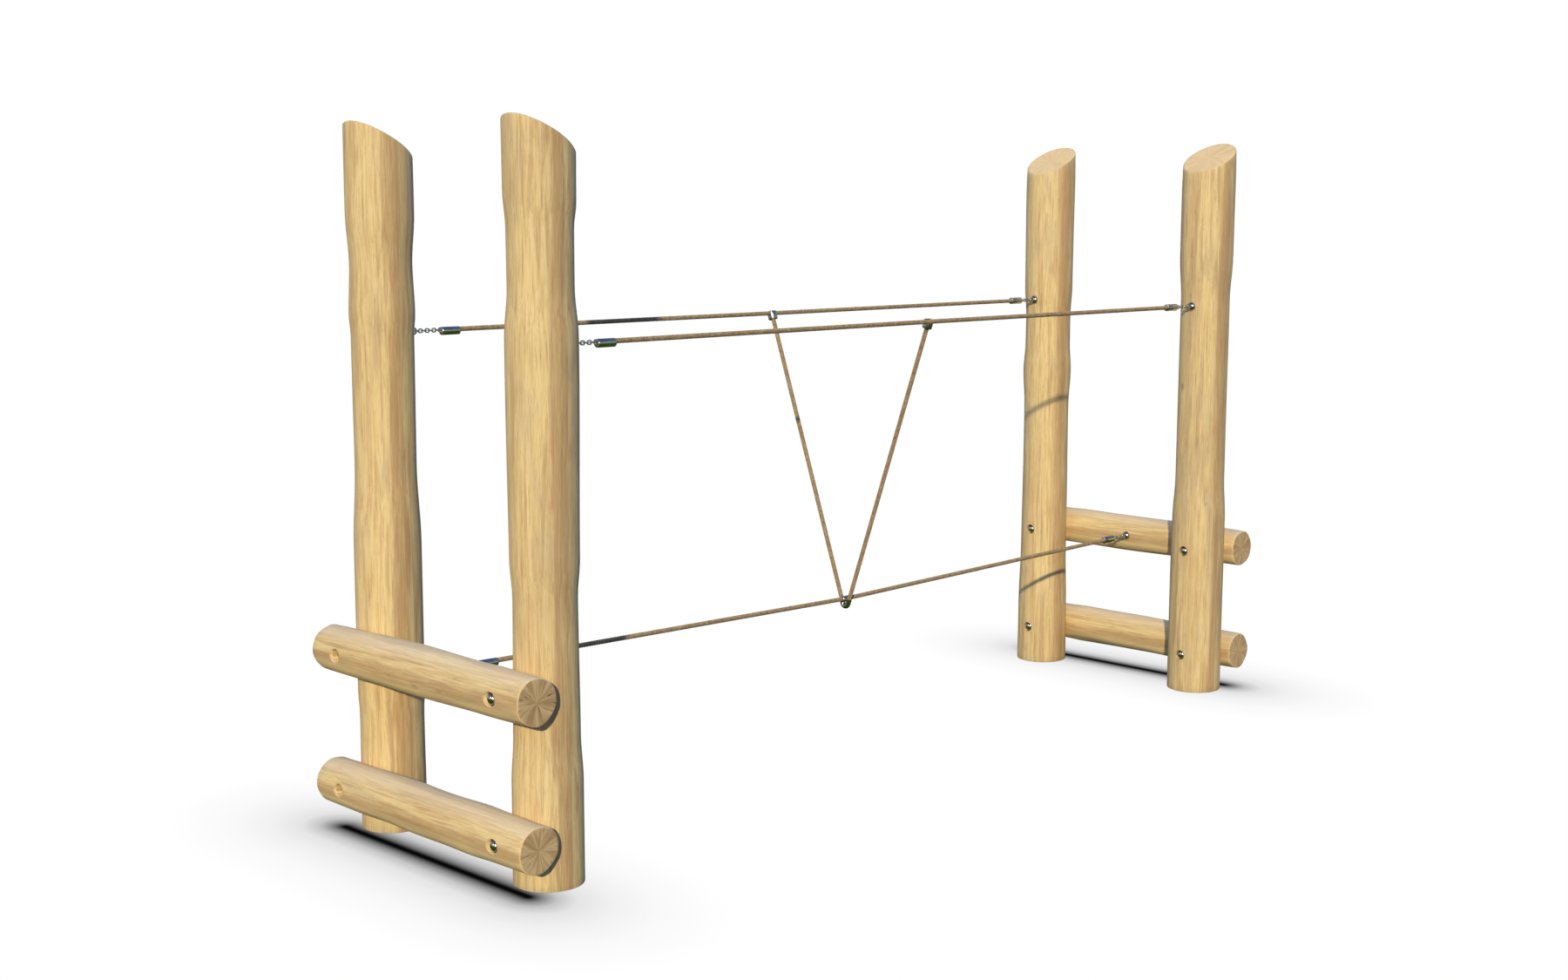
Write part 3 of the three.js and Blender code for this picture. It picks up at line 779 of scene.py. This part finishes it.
def post_shell(outline, side, seed):
    rings = [post_ring(outline, side, seed, height, shrink)
             for height, shrink in ((0.0, 0.004), (0.0012, 0.0012), (0.004, 0.0))]
    for i in range(1, POST_STEPS):
        rings.append(post_ring(outline, side, seed, 0.004 + (POST_TOP - 0.012) * i / POST_STEPS))
    for i in range(5):
        t = math.pi / 2 * i / 4
        height = POST_TOP - POST_RIM + POST_RIM * math.sin(t)
        rings.append(post_ring(outline, side, seed, height, POST_RIM * (1 - math.cos(t))))
    rings += [post_ring(outline, side, seed, POST_TOP, POST_RIM, factor) for factor in CAP_RINGS]
    return skin(rings)


def make_post(post, side, row, seed):
    outline = POST_OUTLINES[post]
    inward = Vector((-side, 0, 0))
    name = f"post_{post}_timber"
    made = finish_mesh(name, mesh_from(name, *post_shell(outline, side, seed)), wood)
    made.matrix_world = Matrix.Translation((side * SPAN / 2, row * WIDTH / 2, 0))
    to_local = made.matrix_world.inverted()
    shells = []
    for level, height in RUNG_HEIGHTS.items():
        shells.append(moved(rung_shell(NOTCH_CLEARANCE, 40, 56), to_local @ rung_matrix(side, level)))
        floor = side * (SPAN / 2 - post_radius(outline, height) + POST_BORE_DEPTH)
        bore = lathe_x([(0, COUNTERBORE_RADIUS), (0.05, COUNTERBORE_RADIUS)], 40)
        shells.append(moved(bore, to_local @ along_x(Vector((floor, row * WIDTH / 2, height)), inward)))
    face = side * (SPAN / 2 - post_radius(outline, HAND_HEIGHT))
    seat = lathe_x([(0, SCREW_SEAT_RADIUS), (0.02, SCREW_SEAT_RADIUS)], 40)
    shells.append(moved(seat, to_local @ along_x(Vector((face, row * WIDTH / 2, HAND_HEIGHT)), inward)))
    cut(made, *shells)
    reshade(made)
    grained(made.data, seed, POST_HEARTWOOD_AND_SHADE_SIDE)
    place_on(made, "frame", "timber", f"post_{post}")


def rung_bore(depth):
    """The cutter of a counterbore with a chamfered mouth, from its floor outward."""
    chamfer = depth - RUNG_BORE_CHAMFER
    return lathe_x([(0, COUNTERBORE_RADIUS - 0.0015), (0.0015, COUNTERBORE_RADIUS),
                    (chamfer - 0.0015, COUNTERBORE_RADIUS), (chamfer, COUNTERBORE_RADIUS + 0.0006),
                    (chamfer + 0.002, COUNTERBORE_RADIUS + 0.0022), (depth, RUNG_BORE_MOUTH),
                    (depth + 0.004, RUNG_BORE_MOUTH + 0.006)], 48)


def make_rung(side_name, side, level, seed):
    name = f"rung_{side_name}_{level}"
    mesh = mesh_from(name + "_timber", *rung_shell(0, RUNG_STEPS, AROUND, seed))
    made = finish_mesh(name + "_timber", mesh, wood)
    made.matrix_world = rung_matrix(side, level)
    to_local = made.matrix_world.inverted()
    shells = []
    for row in (-1, 1):
        floor = head_floor(side, row)
        place = Vector((side * floor, row * WIDTH / 2, RUNG_HEIGHTS[level]))
        bore = rung_bore(SPAN / 2 + RUNG_OFFSET + RUNG_RADIUS_AT_POST - floor)
        shells.append(moved(bore, to_local @ along_x(place, Vector((side, 0, 0)))))
    cut(made, *shells)
    reshade(made)
    grained(made.data, seed, RUNG_WARM_SIDE, RUNG_UP_SIDE)
    place_on(made, "frame", "timber", name)


seed = 1.0
for side_name, side in SIDES:
    for row_name, row in ROWS:
        make_post(f"{side_name}_{row_name}", side, row, seed)
        seed += 1.0
    for level in RUNG_HEIGHTS:
        make_rung(side_name, side, level, seed)
        seed += 1.0


# ---- bolts, cap nuts and the dark rings of painted shade under them ----
CAP_RIM = 0.003
BOLT_PAST_NUT = 0.010
SHADE_RING_BORE = 0.0170


def cap_profile():
    """(x, radius) points of the round cap of a bolt head or nut."""
    points = [(0.0, CAP_RADIUS - 0.0008), (0.001, CAP_RADIUS)]
    for i in range(15):
        t = math.pi / 2 * i / 14
        height = CAP_RIM + (CAP_HEIGHT - CAP_RIM) * math.sin(t)
        points.append((height, max(CAP_RADIUS * math.cos(t), 0.0002)))
    return points


def make_cap(name, place, outward, shank):
    shells = [lathe_x(cap_profile(), 44)]
    if shank:
        shells.append(lathe_x([(-shank, SHANK_RADIUS - 0.001), (0.001 - shank, SHANK_RADIUS),
                               (0.001, SHANK_RADIUS)], 28))
    made = finish_mesh(name + "_steel", mesh_from(name, *joined(*shells)), steel, TURNED_SMOOTH_BELOW)
    place_on(made, "frame", "steel", name, matrix=along_x(place, outward))


def make_shade_ring(name, place, outward):
    """A dark ring of painted shade between a cap and the side of its counterbore, standing in for the
    shadow there.
    """
    reach = COUNTERBORE_RADIUS - GAP
    profile = [(0.0002, reach - 0.0005), (0.0006, reach), (0.0024, reach), (0.0030, reach - 0.0008)]
    mesh = mesh_from(name, *lathe_x(profile, 48))
    made = finish_mesh(name + "_painted_shade_ring", mesh, shade_ring_material, TURNED_SMOOTH_BELOW)
    cut(made, lathe_x([(-0.01, SHADE_RING_BORE), (0.01, SHADE_RING_BORE)], 44))
    reshade(made, TURNED_SMOOTH_BELOW)
    made.matrix_world = along_x(place, outward)
    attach(made, "frame")


def make_joint_hardware(side_name, side, row_name, row, level):
    """The bolt through one rung and post, and the nut on its inner end."""
    post = f"{side_name}_{row_name}"
    height = RUNG_HEIGHTS[level]
    head = head_floor(side, row) + GAP
    nut = SPAN / 2 - post_radius(POST_OUTLINES[post], height) + POST_BORE_DEPTH - GAP
    head_place = Vector((side * head, row * WIDTH / 2, height))
    nut_place = Vector((side * nut, row * WIDTH / 2, height))
    outward = Vector((side, 0, 0))
    make_cap(f"rung_bolt_{post}_{level}", head_place, outward, head - nut + BOLT_PAST_NUT)
    make_cap(f"dome_nut_{post}_{level}", nut_place, -outward, 0)
    # painted shade: dark rings at the head and the nut
    make_shade_ring(f"rung_bolt_{post}_{level}", head_place, outward)
    make_shade_ring(f"dome_nut_{post}_{level}", nut_place, -outward)


for side_name, side in SIDES:
    for row_name, row in ROWS:
        for level in RUNG_HEIGHTS:
            make_joint_hardware(side_name, side, row_name, row, level)


# ---- eye screws, chains and ferrules ----
SCREW_DEPTH = 0.080
DOME_FOOT = 0.0012


def make_eye_screw(name, side, pivot):
    seat = -DOME_TO_PIVOT
    dome = [(seat, DOME_RADIUS - 0.0008), (seat + DOME_FOOT, DOME_RADIUS)]
    for i in range(1, 12):
        t = math.pi / 2 * i / 11
        dome.append((seat + DOME_FOOT + (DOME_HEIGHT - DOME_FOOT) * math.sin(t),
                     max(DOME_RADIUS * math.cos(t), 0.0003)))
    shank = lathe_x([(seat - SCREW_DEPTH, 0.0035), (seat - SCREW_DEPTH + 0.004, SHANK_RADIUS),
                     (seat + 0.002, SHANK_RADIUS)], 24)
    eye = loop_wire(-EYE_RADIUS, EYE_RADIUS - EYE_WIRE, EYE_WIRE, 0, False)
    shells = joined(lathe_x(dome, 40), shank, eye)
    made = finish_mesh(f"eye_screw_{name}_steel", mesh_from("eye", *shells), steel, TURNED_SMOOTH_BELOW)
    place_on(made, "frame", "steel", f"eye_screw_{name}", matrix=along_x(pivot, Vector((-side, 0, 0))))


def make_chain(name, links, matrix, body):
    shells = []
    stretch = LINK_PITCH - 2 * LINK_INNER
    for i in range(links):
        start = -EYE_WIRE - LINK_GAP + i * (LINK_PITCH + LINK_WELD)
        shells.append(loop_wire(start + LINK_PITCH / 2, LINK_INNER, LINK_WIRE, stretch, i % 2 == 0))
    mesh = mesh_from("chain", *joined(*shells))
    made = finish_mesh(f"chain_{name}_steel", mesh, steel, TURNED_SMOOTH_BELOW)
    place_on(made, body, "steel", f"chain_{name}", matrix=matrix)


def make_ferrule(name, links, matrix, body, drop):
    start = ferrule_start(links)
    edge, lip = 0.0035, 0.0008
    profile = [(0.0, 0.004), (0.0, FERRULE_RADIUS - edge)]
    for i in range(1, 7):
        t = math.pi / 2 * i / 6
        profile.append((edge * (1 - math.cos(t)), FERRULE_RADIUS - edge * (1 - math.sin(t))))
    profile += [(FERRULE_LENGTH / 2, FERRULE_RADIUS), (FERRULE_LENGTH - lip, FERRULE_RADIUS),
                (FERRULE_LENGTH - lip / 3, FERRULE_RADIUS - lip / 3),
                (FERRULE_LENGTH, FERRULE_RADIUS - lip)]
    shell = moved(lathe_x(profile, 48, start), Matrix.Translation((0, 0, -drop)))
    made = finish_mesh(f"ferrule_{name}_steel", mesh_from("ferrule", *shell), steel)
    socket = [(0, SOCKET_RADIUS), (FERRULE_LENGTH, SOCKET_RADIUS)]
    cut(made, lathe_x(socket, 40, start + FERRULE_FLOOR))
    cut(made, loop_wire(start - LUG_INNER, LUG_INNER, LUG_WIRE, 0, links % 2 == 0), operation="UNION")
    reshade(made)
    place_on(made, body, "steel", f"ferrule_{name}", matrix=matrix)


for name, side, row, links, pivot, middle in rope_end_frames():
    make_eye_screw(name, side, pivot)
    line = along_x(pivot, middle - pivot)
    make_chain(name, links, line, name + "_half")
    make_ferrule(name, links, line, name + "_half", FERRULE_DROP if side < 0 else 0)


# ---- T clamps and saddle ----
def cut_block():
    """The cube that takes material off a clamp."""
    half = CLAMP_CUT / 2
    square = ((-half, -half), (half, -half), (half, half), (-half, half))
    return skin([[Vector((x, y, z)) for x, y in square] for z in (-half, half)])


def soften(obj, width):
    """Rounds the sharp edges of a cast piece and shades it smooth between them."""
    bevel = obj.modifiers.new("edges", "BEVEL")
    bevel.width, bevel.segments, bevel.limit_method = width, 2, "ANGLE"
    bevel.angle_limit, bevel.harden_normals = math.radians(40), False
    apply_modifiers(obj)
    reshade(obj, 60)


def make_clamp(row_name, row):
    top = leg_point(row, leg_top, 0)
    downward = leg_point(row, leg_top, -1) - top
    matrix = along_x(top, downward)
    profile = [(-CLAMP_ABOVE, CLAMP_RADIUS), (CLAMP_BELOW - 0.002, CLAMP_RADIUS),
               (CLAMP_BELOW - 0.0006, CLAMP_RADIUS - 0.0006), (CLAMP_BELOW, CLAMP_RADIUS - 0.002)]
    made = finish_mesh(f"t_clamp_{row_name}_steel", mesh_from("clamp", *lathe_x(profile, 56)), satin)
    made.matrix_world = matrix
    to_local = matrix.inverted()
    bore = moved(lathe_x([(-0.03, CLAMP_BORE), (0.03, CLAMP_BORE)], 48),
                 to_local @ along_x(top, Vector((1, 0, 0))))
    socket = lathe_x([(CLAMP_SEAT, SOCKET_RADIUS), (0.04, SOCKET_RADIUS)], 40)
    cut(made, bore, socket)
    for y, bottom in ((top.y + row * CLAMP_CUT / 2, top.z - CLAMP_LIP), (top.y, top.z + CLAMP_HOOD)):
        cut(made, moved(cut_block(), to_local @ Matrix.Translation((0, y, bottom + CLAMP_CUT / 2))))
    soften(made, 0.0007)
    place_on(made, "v_hanger", "steel", f"t_clamp_{row_name}")


def make_saddle():
    """A tube bent under the foot rope, with a sleeve round the rope and a socket in each short arm."""
    route = [leg_point(-1, tangent, arm_length * (1 - i / 4)) for i in range(4)]
    for i in range(17):
        a = -math.pi - tangent_angle + (2 * tangent_angle + math.pi) * i / 16
        route.append(Vector((0, SADDLE_BEND * math.cos(a), bend_centre.y + SADDLE_BEND * math.sin(a))))
    route += [leg_point(1, tangent, arm_length * (i + 1) / 4) for i in range(4)]
    lengthwise = Vector((1, 0, 0))
    turns = [2 * math.pi * k / SADDLE_SIDES for k in range(SADDLE_SIDES)]
    rings = []
    for i, point in enumerate(route):
        ahead = (route[min(i + 1, len(route) - 1)] - route[max(i - 1, 0)]).normalized()
        across = ahead.cross(lengthwise)
        rings.append([point + SADDLE_TUBE * (lengthwise * math.cos(a) + across * math.sin(a))
                      for a in turns])
    made = finish_mesh("v_saddle_steel", mesh_from("saddle", *skin(rings)), satin)
    centre = Matrix.Translation((0, 0, FOOT_HEIGHT_MIDDLE))
    half, edge = SADDLE_SLEEVE_HALF, 0.001
    sleeve = lathe_x([(-half, SADDLE_SLEEVE_RADIUS - edge), (-half + edge, SADDLE_SLEEVE_RADIUS),
                      (half - edge, SADDLE_SLEEVE_RADIUS), (half, SADDLE_SLEEVE_RADIUS - edge)], 48)
    cut(made, moved(sleeve, centre), operation="UNION")
    bore = moved(lathe_x([(-0.04, SADDLE_BORE), (0.04, SADDLE_BORE)], 44), centre)
    sockets = []
    for row in (-1, 1):
        seat = leg_point(row, tangent, arm_length - SADDLE_SEAT)
        away = leg_point(row, tangent, arm_length) - seat
        sockets.append(moved(lathe_x([(0, SOCKET_RADIUS), (0.05, SOCKET_RADIUS)], 40), along_x(seat, away)))
    cut(made, bore)
    cut(made, *sockets)
    reshade(made)
    place_on(made, "v_hanger", "steel", "v_saddle")


for row_name, row in ROWS:
    make_clamp(row_name, row)
make_saddle()


# ---- floor and light ----
FLOOR_HALF = 40
SHADE_INWARD = 0.008
SHADE_ALONG, SHADE_HALF = 0.0135, 0.4765
# brightness of the floor's painted shadow against the distance from the line under a lower rung, as a part
# of FLOOR_REACH
FLOOR_REACH = 0.5
FLOOR_SHADE = [(0.0, 0.0), (0.022, 0.01), (0.045, 0.10), (0.085, 0.28), (0.15, 0.56), (0.25, 0.78),
               (0.42, 0.88), (0.65, 0.95), (1.0, 1.0)]
SUN_TRAVEL = (1.27, 1.0, -0.612)
# colours of the surroundings from straight down to straight up
OUTDOORS = [(0.0, (0.03, 0.06, 0.01)), (0.36, (0.06, 0.10, 0.02)), (0.48, (0.16, 0.17, 0.12)),
            (0.51, (0.62, 0.63, 0.62)), (0.57, (0.38, 0.41, 0.45)), (0.68, (0.16, 0.23, 0.38)),
            (1.0, (0.05, 0.09, 0.20))]
SKYLIGHT = [(0.0, (0.02, 0.03, 0.03)), (0.44, (0.04, 0.06, 0.08)), (0.56, (0.22, 0.38, 0.80)),
            (1.0, (0.24, 0.42, 0.92))]
HAZE = (2.4, 2.35, 2.2)
WHITE = (1.0, 1.0, 1.0)


def make_floor():
    """A white floor with painted shadow: the soft dark line that lies under each lower rung."""
    size = FLOOR_HALF
    mesh = mesh_from("floor", [(-size, -size, 0), (size, -size, 0), (size, size, 0), (-size, size, 0)],
                     [(0, 1, 2, 3)])
    floor = new_object("floor", mesh)
    floor.location.z = -0.001
    material = bpy.data.materials.new("floor")
    material.use_nodes = True
    g = Graph(material.node_tree)
    material.node_tree.nodes.clear()
    x, y, _ = g.split(g.node("ShaderNodeTexCoord").outputs["Object"])
    across = g.math("SUBTRACT", g.math("ABSOLUTE", x), SPAN / 2 + RUNG_OFFSET - SHADE_INWARD)
    along = g.math("ABSOLUTE", g.math("SUBTRACT", y, SHADE_ALONG))
    beyond = g.math("MAXIMUM", g.math("SUBTRACT", along, SHADE_HALF), 0.0)
    reach = g.math("SQRT", g.math("ADD", g.math("MULTIPLY", across, across),
                                  g.math("MULTIPLY", g.math("MULTIPLY", beyond, beyond), 0.5)))
    glow = g.node("ShaderNodeEmission")
    g.link(g.ramp(g.math("DIVIDE", reach, FLOOR_REACH), FLOOR_SHADE), glow.inputs["Color"])
    output = g.node("ShaderNodeOutputMaterial")
    g.link(glow.outputs[0], output.inputs["Surface"])
    mesh.materials.append(material)
    floor.visible_diffuse = False
    floor.visible_glossy = False
    floor.visible_shadow = False


def make_sun(name, travel, energy, angle, colour):
    data = bpy.data.lights.new(name, "SUN")
    data.energy = energy
    data.angle = math.radians(angle)
    data.color = colour
    sun = new_object(name, data)
    sun.rotation_mode = "QUATERNION"
    sun.rotation_quaternion = Vector(travel).to_track_quat("-Z", "Y")
    return sun


def make_world():
    """Blue skylight on the wood, a lawn and a hazy sky for the steel to mirror, and a white backdrop."""
    world = bpy.data.worlds.new("studio")
    bpy.context.scene.world = world
    world.use_nodes = True
    g = Graph(world.node_tree)
    world.node_tree.nodes.clear()
    rays = g.node("ShaderNodeLightPath")
    direction = g.node("ShaderNodeTexCoord").outputs["Generated"]
    height = g.math("MULTIPLY_ADD", g.split(direction)[2], 0.5, 0.5)
    sunward = g.dot(direction, -Vector(SUN_TRAVEL).normalized())
    outdoors = g.tint(g.ramp(height, OUTDOORS), g.step(sunward, 0.90, 0.98), 0.85, HAZE)
    colour = g.mix(rays.outputs["Is Glossy Ray"], g.ramp(height, SKYLIGHT), outdoors)
    colour = g.mix(rays.outputs["Is Camera Ray"], colour, WHITE)
    background = g.node("ShaderNodeBackground")
    g.link(colour, background.inputs["Color"])
    output = g.node("ShaderNodeOutputWorld")
    g.link(background.outputs[0], output.inputs["Surface"])


make_floor()
make_world()
make_sun("key", SUN_TRAVEL, 3.30, 1.2, (1.0, 0.92, 0.77))
make_sun("side", (1.0, -0.25, -0.35), 0.35, 25, (1.0, 0.95, 0.85))
rear = make_sun("rear", (-0.72, -0.69, -0.06), 1.3, 25, (1.0, 0.96, 0.88))
rear.visible_glossy = False
bpy.context.scene.view_settings.view_transform = "Standard"
